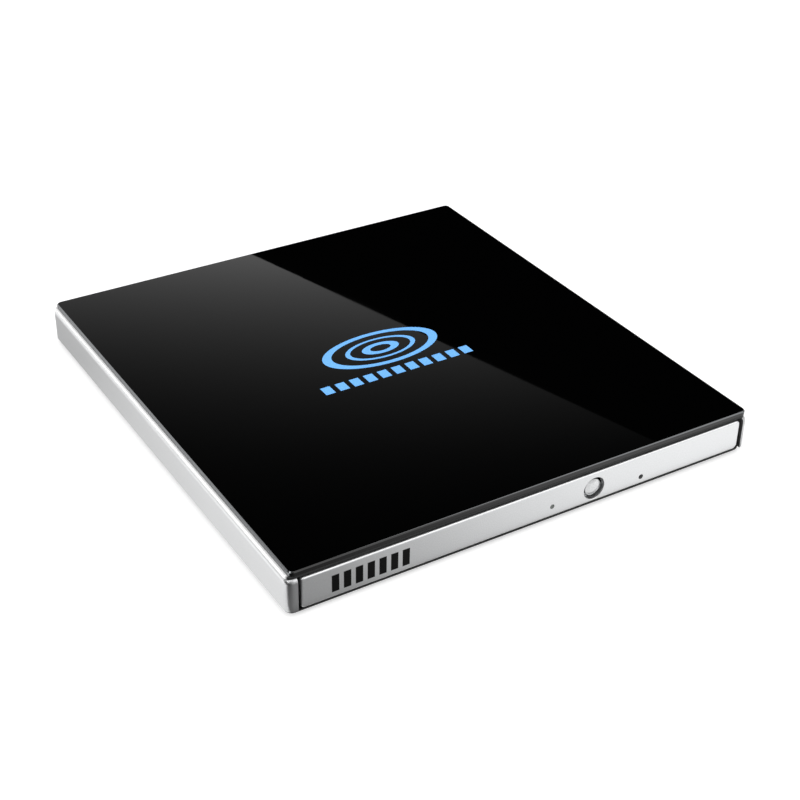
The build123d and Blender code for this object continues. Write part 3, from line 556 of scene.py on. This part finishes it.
def lid_cards(eye):
    """A black card behind the whole mirrored lid, and a soft box in front of its left part."""
    lid_low, lid_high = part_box("top_plate")
    left, right = lid_low.x / MM - CARD_MARGIN, lid_high.x / MM + CARD_MARGIN
    near, far = lid_low.y / MM - CARD_MARGIN, lid_high.y / MM + CARD_MARGIN

    def spot(x, y):
        return seen_in_lid(eye, x, y, lid_high.z)

    card("black_card", [[spot(left, far), spot(right, far)], [spot(left, near), spot(right, near)]])
    rows, glow = [], []
    for step in range(GLARE_STEPS + 1):
        y = far + (near - far) * step / GLARE_STEPS
        depth = (GLARE_BACK.y - y) / (GLARE_BACK.y - GLARE_FRONT.y)
        edge = GLARE_BACK.x + (GLARE_FRONT.x - GLARE_BACK.x) * depth
        row = []
        for column in range(GLARE_STEPS + 1):
            share = column / GLARE_STEPS
            x = edge + (left - edge) * share
            level = (1 - 0.8 * depth) * (1 - share * (0.5 + 0.4 * depth))
            row.append(spot(x, y) - Vector((0, CARD_GAP, 0)))
            glow.append(GLARE_LEVEL * max(0.0, level) ** 2.2)
        rows.append(row)
    card("soft_box", rows, glow)


def front_cards():
    """What the front mirrors: a floor that is dark by the left corner, and a dark flag beside that corner."""
    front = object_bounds()[0].y / MM
    rows = [[Vector((x, front - reach, 0.4)) * MM for x, _ in FRONT_GLOW] for reach, _ in FRONT_REACH]
    card("front_card", rows, [level * share for _, share in FRONT_REACH for _, level in FRONT_GLOW])
    start, end, height = CORNER_FLAG
    card("corner_flag", [[Vector((*start, z)) * MM, Vector((*end, z)) * MM] for z in (0.5, height)])


def side_cards():
    """What the left side mirrors: a floor that is brighter to the front, and a bright panel above it."""
    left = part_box("side_frame")[0].x / MM
    rows = [[Vector((left - reach, y, 0.3)) * MM for y, _ in SIDE_GLOW] for reach, _ in SIDE_REACH]
    card("side_card", rows, [level * share for _, share in SIDE_REACH for _, level in SIDE_GLOW])
    rows = [[Vector((x, EDGE_PANEL_Y, z)) * MM for x in EDGE_PANEL_X] for z, _ in EDGE_PANEL_GLOW]
    card("edge_panel", rows, [level for _, level in EDGE_PANEL_GLOW for _ in EDGE_PANEL_X])


def floor():
    """A pale floor that reaches past every view."""
    size = 6.0
    corners = [(-size, -size, 0), (size, -size, 0), (size, size, 0), (-size, size, 0)]
    mesh = bpy.data.meshes.new("floor")
    mesh.from_pydata(corners, [], [(0, 1, 2, 3)])
    obj = bpy.data.objects.new("floor", mesh)
    bpy.context.scene.collection.objects.link(obj)
    finish = Finish("floor", Emission_Color=(1, 1, 1, 1), Emission_Strength=0.5)
    finish.colour(finish.noise(400), *around(grey(0.62), 0.01))
    finish.roughness(finish.noise(300), 0.8, 0.9)
    mesh.materials.append(finish.material)
    obj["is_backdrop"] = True


def sky():
    """An even pale surround that dims towards the top."""
    world = bpy.data.worlds.new("studio")
    bpy.context.scene.world = world
    world.use_nodes = True
    tree = world.node_tree
    background = tree.nodes["Background"]
    place = tree.nodes.new("ShaderNodeTexCoord").outputs["Generated"]
    parts = tree.nodes.new("ShaderNodeSeparateXYZ")
    tree.links.new(place, parts.inputs[0])
    ramp = tree.nodes.new("ShaderNodeValToRGB")
    for element, (spot, value) in zip(ramp.color_ramp.elements, ((0.0, 1.0), (0.55, 0.4))):
        element.position = spot
        element.color = (value, value, value, 1)
    tree.links.new(parts.outputs["Z"], ramp.inputs["Fac"])
    tree.links.new(ramp.outputs["Color"], background.inputs["Color"])
    background.inputs["Strength"].default_value = 1.0


def soft_light(name, place, size, power):
    """An area light that points at the origin."""
    data = bpy.data.lights.new(name, "AREA")
    data.shape = "RECTANGLE"
    data.size, data.size_y = size
    data.energy = power
    obj = bpy.data.objects.new(name, data)
    bpy.context.scene.collection.objects.link(obj)
    toward = -Vector(place)
    obj.matrix_world = Matrix.Translation(place) @ toward.to_track_quat("-Z", "Y").to_matrix().to_4x4()
    obj.visible_camera = False
    return obj


def studio(eye):
    """The floor, the sky, the reflectors and the lights."""
    floor()
    sky()
    lid_cards(eye)
    front_cards()
    side_cards()
    soft_light("key", (0.55, -0.65, 0.85), (1.3, 1.0), 5.5)
    soft_light("rim", (-0.75, 0.95, 0.62), (0.8, 0.5), 4).visible_glossy = False
    soft_light("fill", (-0.62, -0.3, 0.4), (0.4, 0.4), 2.2)
    soft_light("top", (-0.1, 0.0, 1.2), (0.9, 0.9), 4)
    bpy.context.scene.view_settings.view_transform = "Standard"


# ---------------------------------------------------------------- small parts
FILM = 0.02                       # how far ink stands proud of its surface
TOP_MARK = (1.2, 3.2)             # middle of the rings on the lid
MARK_RINGS = ((7.1, 8.4), (4.4, 5.1), (1.5, 2.7))
MARK_STRETCH = 2.1
DASHES_X, DASHES_Y = (-23.5, 23.9), (-11.0, -7.4)
DASHES, DASH_SHARE = 11, 0.64     # how many, and how much of its pitch each one takes
BARS_X, BARS_Z = (-56.2, -34.4), (3.3, 8.0)
BARS, BAR_SHARE = 7, 0.62
SPINDLE = (0.7, -6.0)
SLED_ANGLE = math.radians(225)    # the way in which the pickup moves off the spindle
SCREW_ACROSS = 18.5               # the lead screw's distance from the pickup's middle line
WELL_FLOOR = 7.8                  # upper face of the tray's floor
BOARD_T, BRIDGE_T = 0.8, 1.0      # circuit boards


def mm_box(node):
    """A CAD node's box in millimetres."""
    low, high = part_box(node)
    return low / MM, high / MM


def bars(bm, xs, count, share, ys, zs):
    """Equal bars side by side along X. Each is that share of its pitch."""
    pitch = (xs[1] - xs[0]) / count
    for index in range(count):
        left = xs[0] + index * pitch
        box(bm, (left, left + pitch * share), ys, zs)


def lid_mark(finish):
    """Plain oval rings above a row of dashes, in pale blue."""
    top = mm_box("top_plate")[1].z
    zs = (top - FILM, top + FILM)

    def draw(bm):
        for inner, outer in MARK_RINGS:
            washer(bm, TOP_MARK, inner, outer, zs, stretch=MARK_STRETCH)
        bars(bm, DASHES_X, DASHES, DASH_SHARE, DASHES_Y, zs)

    piece("lid_mark", draw, finish, "case")


def panel_mark(finish):
    """A row of plain dark bars on the front panel."""
    front = mm_box("front_bezel")[0].y

    def draw(bm):
        bars(bm, BARS_X, BARS, BAR_SHARE, (front - FILM, front + FILM), BARS_Z)

    piece("panel_mark", draw, finish, "tray")


# The label: four plain lines, a row of small empty boxes, and a large one around a ring.
LABEL_MARGIN = 4
LINE_LENGTHS = (0.33, 0.54, 0.492, 0.36)   # as shares of the printed width
LINE_PITCH, LINE_T = 2.6, 0.9
BOX_COUNT, BOX_SIDE, BOX_PITCH, BOX_LINE = 4, 7, 8.5, 0.3
LARGE_BOX, LARGE_LINE = 14, 0.35
LABEL_RING = (2.6, 3.1)


def label_print(finish):
    """Plain lines and empty boxes on the label under the case."""
    low, high = mm_box("blank_label")
    zs = (low.z - FILM, low.z + FILM)
    left, right = low.x + LABEL_MARGIN, high.x - LABEL_MARGIN
    near, far = low.y + LABEL_MARGIN, high.y - LABEL_MARGIN

    def draw(bm):
        for row, share in enumerate(LINE_LENGTHS):
            y = far - row * LINE_PITCH
            box(bm, (left, left + (right - left) * share), (y - LINE_T, y), zs)
        for column in range(BOX_COUNT):
            x = left + column * BOX_PITCH
            frame_lines(bm, (x, x + BOX_SIDE), (near, near + BOX_SIDE), BOX_LINE, zs)
        frame_lines(bm, (right - LARGE_BOX, right), (near, near + LARGE_BOX), LARGE_LINE, zs)
        washer(bm, (right - LARGE_BOX / 2, near + LARGE_BOX / 2), *LABEL_RING, zs)

    piece("label_print", draw, finish, "case")


def frame_lines(bm, xs, ys, line, zs):
    """The four lines of an empty box."""
    box(bm, xs, (ys[0], ys[0] + line), zs)
    box(bm, xs, (ys[1] - line, ys[1]), zs)
    box(bm, (xs[0], xs[0] + line), (ys[0] + line, ys[1] - line), zs)
    box(bm, (xs[1] - line, xs[1]), (ys[0] + line, ys[1] - line), zs)


CONTACT_PITCH, CONTACT_HALF = 0.8, 0.18
CONTACT_REACH = (4.2, 0.3)        # from the tongue's outer end
CONTACT_DROP = 0.5                # under the tongue's middle


def usb_contacts(finish):
    """Five spring contacts under the tongue of the USB socket."""
    low, high = mm_box("usb_port_core")
    middle = (low.x + high.x) / 2
    under = (low.z + high.z) / 2 - CONTACT_DROP
    ys = [high.y - reach for reach in CONTACT_REACH]

    def draw(bm):
        for index in range(-2, 3):
            x = middle + index * CONTACT_PITCH
            box(bm, (x - CONTACT_HALF, x + CONTACT_HALF), ys, (under - 0.06, under + 0.02))

    piece("usb_contacts", draw, finish, "case", bevel=0.02)


# Packages on the main board: place, width, depth and height.
CHIPS = ((-34, 38, 14, 14, 1.2), (-10, 36, 9, 9, 1.0), (12, 34, 8, 5, 1.0),
         (24, 44, 6, 6, 1.0), (0, 46, 5, 4, 0.9), (-22, 48, 4, 3, 0.8))
BRIDGE_CHIPS = ((-24, 66.9, 7, 7, 0.9), (-14, 66.9, 3.2, 2.5, 0.8),
                (-8, 66.9, 4, 3, 1.1), (12, 66.9, 5, 4, 1.0))
SKIN = 0.03                       # a package's moulding over its CAD block
LEG_PITCH = 0.65


def packages(name, chips, top, finishes):
    """Chip mouldings with a pin-one dimple, and the legs along their sides."""
    def mouldings(bm):
        for x, y, width, depth, height in chips:
            half, deep = width / 2 + SKIN, depth / 2 + SKIN
            box(bm, (x - half, x + half), (y - deep, y + deep), (top + 0.08, top + height + SKIN))
            dimple = (top + height, top + height + 2 * SKIN)
            washer(bm, (x - half + 0.9, y - deep + 0.9), 0.18, 0.32, dimple, 20)

    def legs(bm):
        for x, y, width, depth, height in chips:
            for side in (-1, 1):
                for index in range(int(width / LEG_PITCH) - 1):
                    along = x - width / 2 + LEG_PITCH * (index + 1)
                    leg(bm, along, y + side * depth / 2, side, top, height, False)
                for index in range(int(depth / LEG_PITCH) - 1):
                    along = y - depth / 2 + LEG_PITCH * (index + 1)
                    leg(bm, x + side * width / 2, along, side, top, height, True)

    piece(name + "_packages", mouldings, finishes["epoxy"], "case", bevel=0.06)
    piece(name + "_legs", legs, finishes["tin"], "case")


LEG_WIDTH = (-0.11, 0.11)
SHOULDER, DROP, FOOT = (0, 0.35), (0.28, 0.4), (0.3, 0.75)   # reach of a leg's three parts


def leg(bm, x, y, side, top, height, on_x):
    """A gull-wing leg: a shoulder beside the package, a drop, and a foot on the board."""
    levels = ((SHOULDER, (top + height * 0.35, top + height * 0.5)),
              (FOOT, (top, top + 0.12)),
              (DROP, (top + 0.02, top + height * 0.48)))
    for reach, zs in levels:
        reach = sorted(side * edge for edge in reach)
        xs, ys = (reach, LEG_WIDTH) if on_x else (LEG_WIDTH, reach)
        box(bm, (x + xs[0], x + xs[1]), (y + ys[0], y + ys[1]), zs)


def passives(name, spots, top, finishes, body):
    """Small ceramic parts with tinned ends."""
    def bodies(bm):
        for x, y in spots:
            box(bm, (x - 0.5, x + 0.5), (y - 0.4, y + 0.4), (top, top + 0.5))

    def ends(bm):
        for x, y in spots:
            for side in (-1, 1):
                xs = sorted((x + side * 0.42, x + side * 0.78))
                box(bm, xs, (y - 0.43, y + 0.43), (top, top + 0.53))

    piece(name + "_passives", bodies, finishes["ceramic"], body, bevel=0.05)
    piece(name + "_solder", ends, finishes["tin"], body, bevel=0.08)


def clear_of_chips(spot):
    """Whether a small part at a place on the main board stands clear of every package."""
    return all(abs(spot[0] - x) > width / 2 + 1.6 or abs(spot[1] - y) > depth / 2 + 1.4
               for x, y, width, depth, _ in CHIPS)


def boards(finishes):
    """What is soldered to the three circuit boards."""
    main_top = mm_box("main_board")[0].z + BOARD_T
    packages("main_board", CHIPS, main_top, finishes)
    packages("bridge_board", BRIDGE_CHIPS, mm_box("bridge_board")[0].z + BRIDGE_T, finishes)
    spots = [(-50 + 4 * column, y) for column in range(20) for y in (29, 50)]
    passives("main_board", [spot for spot in spots if clear_of_chips(spot)], main_top, finishes, "case")
    front_top = mm_box("front_board")[0].z + BOARD_T
    front_spots = [(8.5 + 2.2 * column, -60.4) for column in range(3)] + [(22, -63), (9.5, -63)]
    passives("front_board", front_spots, front_top, finishes, "tray")


def on_sled(along, across):
    """The place at a distance from the spindle along the pickup's path, and beside it."""
    return (SPINDLE[0] + along * math.cos(SLED_ANGLE) - across * math.sin(SLED_ANGLE),
            SPINDLE[1] + along * math.sin(SLED_ANGLE) + across * math.cos(SLED_ANGLE))


def sled_box(bm, along, across, zs):
    """A closed block that is square to the pickup's path."""
    corners = ((along[0], across[0]), (along[1], across[0]), (along[1], across[1]), (along[0], across[1]))
    slab(bm, [on_sled(*corner) for corner in corners], *zs)


def arc_ridge(bm, radius, width, zs, start, end):
    """A low ridge that follows an arc of the disc well."""
    steps = 120
    rings = []
    for step in range(steps + 1):
        angle = start + (end - start) * step / steps
        ring = []
        for reach, z in ((radius - width / 2, zs[0]), (radius + width / 2, zs[0]),
                         (radius + width / 4, zs[1]), (radius - width / 4, zs[1])):
            x, y = SPINDLE[0] + reach * math.cos(angle), SPINDLE[1] + reach * math.sin(angle)
            ring.append(bm.verts.new((x, y, z)))
        rings.append(ring)
    for here, there in zip(rings, rings[1:]):
        for index in range(4):
            bm.faces.new((here[index], there[index], there[(index + 1) % 4], here[(index + 1) % 4]))
    bm.faces.new(rings[0])
    bm.faces.new(list(reversed(rings[-1])))


# Ridges in the disc well: radius, width, height, and half the gap at the sled's window in degrees.
RIDGES = ((40.6, 0.9, 0.16, 27), (52.4, 0.5, 0.07, 23), (54.6, 0.5, 0.07, 22))


def well_ridges(finish):
    """The ring that centres a small disc, and fine rings outside it."""
    def draw(bm):
        for radius, width, height, gap in RIDGES:
            clear = math.radians(gap)
            arc_ridge(bm, radius, width, (WELL_FLOOR - 0.02, WELL_FLOOR + height),
                      SLED_ANGLE + clear, SLED_ANGLE + 2 * math.pi - clear)

    piece("well_ridges", draw, finish, "tray")


# The lens drive, about the lens holder: reach along the pickup's path, half width across it, and height.
MAGNET_ALONG, MAGNET_ACROSS, MAGNET_Z = (4.55, 5.45), 3.6, (4.7, 6.5)
COIL_ALONG, COIL_ACROSS, COIL_Z = (4.18, 4.34), 3.0, 5.25
COIL_TURNS, TURN_PITCH, TURN_T = 4, 0.2, 0.15
WIRE_ALONG, WIRE_ACROSS, WIRE_LEVELS, WIRE_T = 5.4, (5.72, 5.8), (5.5, 6.3), 0.08


def lens_drive(finishes):
    """Magnets beside the lens carrier, its copper coil and its four hanging wires."""
    low, high = mm_box("lens_holder")
    along = (SPINDLE[0] - (low.x + high.x) / 2) * math.sqrt(2)

    def on_side(side, span):
        return sorted((along + side * span[0], along + side * span[1]))

    def magnets(bm):
        for side in (-1, 1):
            sled_box(bm, on_side(side, MAGNET_ALONG), (-MAGNET_ACROSS, MAGNET_ACROSS), MAGNET_Z)

    def coil(bm):
        for level in range(COIL_TURNS):
            z = COIL_Z + level * TURN_PITCH
            for side in (-1, 1):
                sled_box(bm, on_side(side, COIL_ALONG), (-COIL_ACROSS, COIL_ACROSS), (z, z + TURN_T))

    def wires(bm):
        for side in (-1, 1):
            across = sorted(side * edge for edge in WIRE_ACROSS)
            for z in WIRE_LEVELS:
                sled_box(bm, (along - WIRE_ALONG, along + WIRE_ALONG), across, (z, z + WIRE_T))

    piece("lens_magnets", magnets, finishes["magnet"], "pickup", bevel=0.08)
    piece("lens_coils", coil, finishes["coil"], "lens", bevel=0.03)
    piece("lens_wires", wires, finishes["gold"], "pickup")


# The lead screw, from the spindle outwards: plain end, thread, plain end.
THREAD = (6.3, 57.3)
SHAFT_ENDS = (5.3, 58.3)
THREAD_PITCH = 1.5                # two starts, so the nut moves twice this in a turn
CREST, ROOT, SHAFT_R = 1.3, 1.08, 0.7
SCREW_SIDES = 20


def screw_tube(bm, stations, height, radius_at):
    """A closed round tube about the screw's axis. Its radius depends on the station and the angle."""
    rings = []
    for along in stations:
        ring = []
        for side in range(SCREW_SIDES):
            angle = 2 * math.pi * side / SCREW_SIDES
            radius = radius_at(along, angle)
            x, y = on_sled(along, SCREW_ACROSS + radius * math.cos(angle))
            ring.append(bm.verts.new((x, y, height + radius * math.sin(angle))))
        rings.append(ring)
    for here, there in zip(rings, rings[1:]):
        for side in range(SCREW_SIDES):
            after = (side + 1) % SCREW_SIDES
            bm.faces.new((here[side], here[after], there[after], there[side]))
    bm.faces.new(rings[0])
    bm.faces.new(rings[-1])


def thread_radius(along, angle):
    """The two-start thread between its root and its flat crest."""
    phase = (along / THREAD_PITCH + angle / math.pi) % 1.0
    slope = min(1.0, max(0.0, 2.4 * abs(2 * phase - 1) - 0.7))
    return ROOT + (CREST - ROOT) * slope


def lead_thread(finish):
    """The lead screw: its thread, and the plain ends that its bearings hold."""
    low, high = mm_box("lead_screw")
    height = (low.z + high.z) / 2
    start, end = THREAD
    steps, lap = 680, 0.2

    def draw(bm):
        stations = [start + (end - start) * step / steps for step in range(steps + 1)]
        screw_tube(bm, stations, height, thread_radius)
        for ends in ((SHAFT_ENDS[0], start + lap), (end - lap, SHAFT_ENDS[1])):
            screw_tube(bm, ends, height, lambda along, angle: SHAFT_R)

    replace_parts(piece("lead_thread", draw, finish, "lead_screw"), "lead_screw")


# ---------------------------------------------------------------- build
finishes = solid_finishes()
inks = extra_finishes()
# The rim takes its painted highlight in place of its slot's satin black.
dress_nodes(finishes, {"top_frame": inks["rim"]})
inks["coil"] = finishes["copper"]
lid_mark(inks["blue_ink"])
panel_mark(inks["black_ink"])
label_print(inks["grey_ink"])
usb_contacts(inks["gold"])
boards(inks)
well_ridges(finishes["tray_plastic"])
lens_drive(inks)
lead_thread(finishes["polished_steel"])
studio(place_camera())
